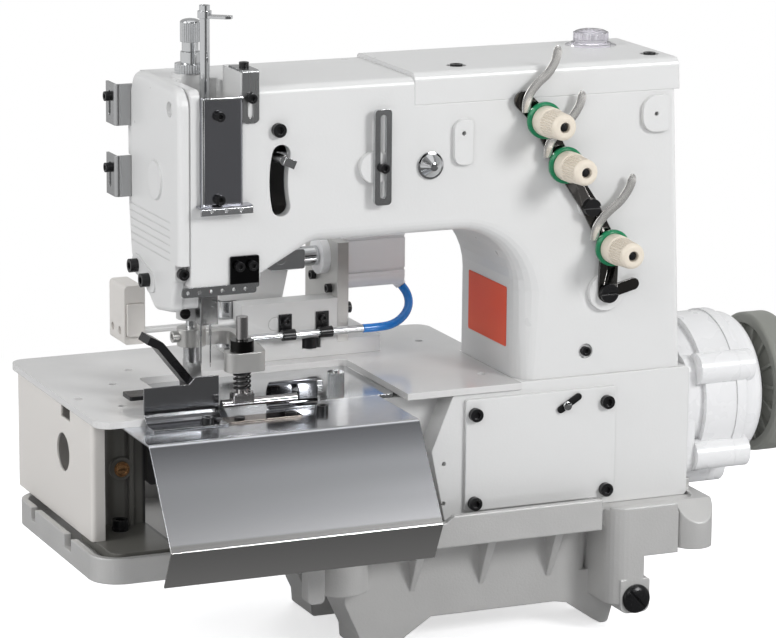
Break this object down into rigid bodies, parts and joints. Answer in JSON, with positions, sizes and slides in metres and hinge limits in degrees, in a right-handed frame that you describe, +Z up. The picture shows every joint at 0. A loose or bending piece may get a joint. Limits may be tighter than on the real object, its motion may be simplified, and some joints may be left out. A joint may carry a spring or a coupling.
{
  "type": "belt loop making machine",
  "caption": "Two-needle belt loop making machine: cast arm on an oil pan base, loop folder and guard, roller presser, thread tensions and an air lift.",
  "frame": {"origin": "middle of the machine's outline at the level of its feet", "axes": "+X to the handwheel, +Y to the back, +Z up"},
  "size_m": [0.574, 0.3008, 0.48],
  "materials": {
    "white_paint": "semi-gloss",
    "cream_paint": "semi-gloss",
    "cast_alloy": "as cast",
    "brushed_steel": "brushed",
    "bright_chrome": "polished",
    "dark_mirror": "polished",
    "black_oxide": "black oxide",
    "anodised": "satin",
    "rubber_belt": "matte",
    "sight_glass": "clear",
    "green_plastic": "gloss",
    "beige_plastic": "satin",
    "hose_blue": "gloss",
    "wheel_grey": "satin"
  },
  "bodies": {
    "machine": {"base_pan": "cast_alloy", "drain_plug": "black_oxide", "bed_casting": "white_paint", "bed_front_cover": "white_paint", "work_table": "white_paint", "throat_plate": "bright_chrome", "left_side_cover": "cream_paint", "loop_guard": "brushed_steel", "chute_wall": "brushed_steel", "roller_plate": "bright_chrome", "folded_guide": "brushed_steel", "folder": "black_oxide", "arm_casting": "white_paint", "arm_top_cover": "white_paint", "oil_sight_glass": "sight_glass", "face_cover": "white_paint", "face_brackets": "brushed_steel", "needle_bar_cover": "dark_mirror", "corner_thread_bracket": "brushed_steel", "slotted_guide_bar": "brushed_steel", "cone_plug": "bright_chrome", "thread_guide_bar": "black_oxide", "regulator_bush": "bright_chrome", "tension_bracket": "black_oxide", "tension_discs": "bright_chrome", "tension_rings": "green_plastic", "motor_housing": "white_paint", "motor_flange": "white_paint", "timing_belt": "rubber_belt", "cylinder_plate": "brushed_steel", "cylinder_body": "anodised", "rear_bracket": "white_paint", "air_tube": "bright_chrome", "tube_clips": "black_oxide", "blue_hose": "hose_blue", "switch_box": "cream_paint", "socket_screws": "black_oxide", "slot_screws": "black_oxide"},
    "main_shaft": {"handwheel": "wheel_grey", "lower_shaft": "brushed_steel"},
    "top_shaft": {"upper_shaft": "brushed_steel"},
    "needle_drive": {"needle_bar": "bright_chrome", "needle_link": "brushed_steel", "needle_clamp": "brushed_steel", "needles": "bright_chrome"},
    "take_up": {"take_up_lever": "bright_chrome"},
    "presser": {"presser_bar": "bright_chrome", "presser_arm": "brushed_steel", "presser_foot": "brushed_steel", "plunger_spring": "black_oxide"},
    "plunger": {"roller_plunger": "bright_chrome"},
    "regulator": {"regulator_knob": "bright_chrome"},
    "knob_1": {"tension_knob_1": "beige_plastic"},
    "knob_2": {"tension_knob_2": "beige_plastic"},
    "knob_3": {"tension_knob_3": "beige_plastic"},
    "air_rod": {"cylinder_rod": "bright_chrome"},
    "lever": {"lift_lever": "white_paint"},
    "puller": {"puller_plunger": "bright_chrome"},
    "button": {"switch_button": "cream_paint"},
    "nut": {"thumb_nut": "bright_chrome"}
  },
  "joints": [
    {"name": "handwheel_spin", "type": "hinge", "parent": "machine", "child": "main_shaft", "pos_m": [0.276, 0.003, 0.1645], "axis": [1, 0, 0], "continuous": true},
    {"name": "upper_shaft_spin", "type": "hinge", "parent": "machine", "child": "top_shaft", "pos_m": [0.017, -0.0125, 0.374], "axis": [1, 0, 0], "continuous": true},
    {"name": "needle_bar_slide", "type": "slide", "parent": "machine", "child": "needle_drive", "axis": [0, 0, 1], "range_m": [-0.031, 0]},
    {"name": "take_up_swing", "type": "hinge", "parent": "machine", "child": "take_up", "pos_m": [-0.053, -0.0375, 0.358], "axis": [0, 1, 0], "range_deg": [-22.2, 0]},
    {"name": "presser_lift", "type": "slide", "parent": "machine", "child": "presser", "axis": [0, 0, 1], "range_m": [0, 0.0065], "stiffness_N_per_m": 400, "springref_m": -0.02},
    {"name": "plunger_slide", "type": "slide", "parent": "presser", "child": "plunger", "axis": [0, 0, 1], "range_m": [0, 0.006], "stiffness_N_per_m": 400, "springref_m": -0.01, "deforming": ["plunger_spring"]},
    {"name": "regulator_turn", "type": "hinge", "parent": "machine", "child": "regulator", "pos_m": [-0.186, 0.0085, 0.446], "axis": [0, 0, 1], "range_deg": [-360, 360]},
    {"name": "tension_knob_1_turn", "type": "hinge", "parent": "machine", "child": "knob_1", "pos_m": [0.0597, -0.0725, 0.391], "axis": [0, -1, 0], "range_deg": [-360, 360]},
    {"name": "tension_knob_2_turn", "type": "hinge", "parent": "machine", "child": "knob_2", "pos_m": [0.0775, -0.0725, 0.357], "axis": [0, -1, 0], "range_deg": [-360, 360]},
    {"name": "tension_knob_3_turn", "type": "hinge", "parent": "machine", "child": "knob_3", "pos_m": [0.1166, -0.0725, 0.293], "axis": [0, -1, 0], "range_deg": [-360, 360]},
    {"name": "cylinder_stroke", "type": "slide", "parent": "machine", "child": "air_rod", "axis": [-1, 0, 0], "range_m": [0, 0.01]},
    {"name": "lift_lever_swing", "type": "hinge", "parent": "machine", "child": "lever", "pos_m": [-0.0947, 0.1035, 0.2237], "axis": [0, -1, 0], "range_deg": [0, 12.4]},
    {"name": "puller_slide", "type": "slide", "parent": "machine", "child": "puller", "axis": [0, 0, -1], "range_m": [0, 0.0079]},
    {"name": "switch_press", "type": "slide", "parent": "machine", "child": "button", "axis": [0, 1, 0], "range_m": [0, 0.0012], "stiffness_N_per_m": 800, "springref_m": -0.002},
    {"name": "thumb_nut_turn", "type": "hinge", "parent": "machine", "child": "nut", "pos_m": [-0.073, 0.0095, 0.196], "axis": [0, 0, 1], "range_deg": [-360, 360]}
  ],
  "couplings": [
    {"joint": "upper_shaft_spin", "follows": "handwheel_spin", "ratio": 1},
    {"joint": "take_up_swing", "follows": "needle_bar_slide", "rad_per_m": 12.4},
    {"joint": "lift_lever_swing", "follows": "cylinder_stroke", "rad_per_m": 21.5},
    {"joint": "puller_slide", "follows": "cylinder_stroke", "ratio": 0.78}
  ]
}
